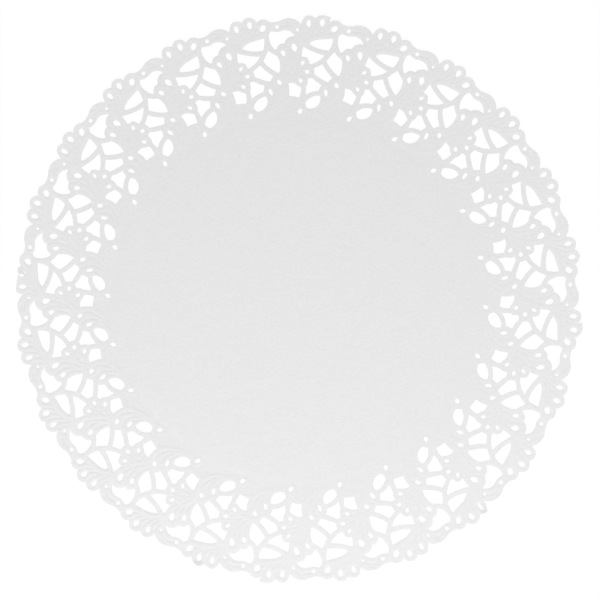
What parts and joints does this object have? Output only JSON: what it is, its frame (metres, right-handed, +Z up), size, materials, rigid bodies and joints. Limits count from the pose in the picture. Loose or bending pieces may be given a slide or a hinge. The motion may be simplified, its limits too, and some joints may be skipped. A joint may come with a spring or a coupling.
{
  "type": "round paper doily",
  "caption": "Round paper doily with a plain middle and a cut and pressed lace border; it lies flat under a cake, plate or vase.",
  "frame": {"origin": "middle of the underside, on the surface that the doily lies on", "axes": "+Z up from that surface, out of the upper side of the sheet; the middle line of one of the lace's repeats lies 7.5 degrees from +X"},
  "size_m": [0.3025, 0.3035, 0.001],
  "materials": {
    "paper": "matt uncoated white paper, embossed"
  },
  "bodies": {
    "root": {"doily": "paper"}
  },
  "joints": []
}
